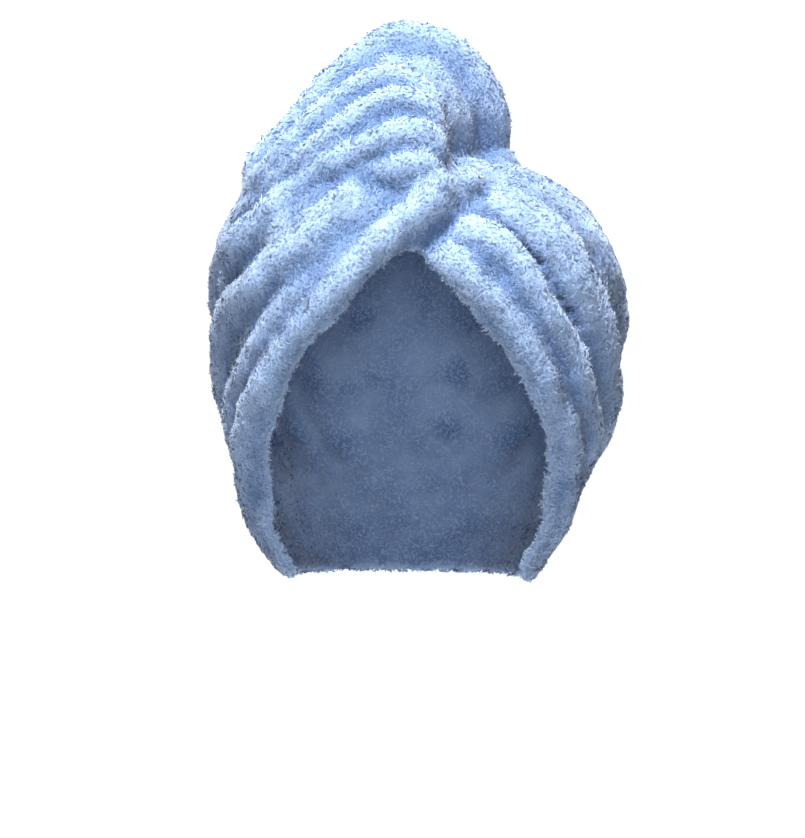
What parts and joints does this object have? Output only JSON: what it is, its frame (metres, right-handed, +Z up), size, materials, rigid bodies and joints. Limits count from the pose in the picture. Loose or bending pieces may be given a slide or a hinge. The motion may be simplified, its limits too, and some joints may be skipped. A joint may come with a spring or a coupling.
{
  "type": "hair turban towel",
  "caption": "Fluffy terry hair turban: a hood open in a pointed arch at the face, with a twisted tail laid back over the crown and kept at the nape by a button and a loop.",
  "frame": {"origin": "where the top of the head touches the inside of the hood", "axes": "+Z up, -Y the front with the opening for the face, +X towards the wearer's left ear"},
  "size_m": [0.186, 0.2266, 0.2444],
  "materials": {
    "terry": "fluffy sky-blue terry pile, matte",
    "button": "satin",
    "elastic": "matte woven elastic"
  },
  "bodies": {
    "root": {"hood": "terry", "twisted_tail": "terry", "nape_button": "button", "elastic_loop": "elastic"}
  },
  "joints": []
}
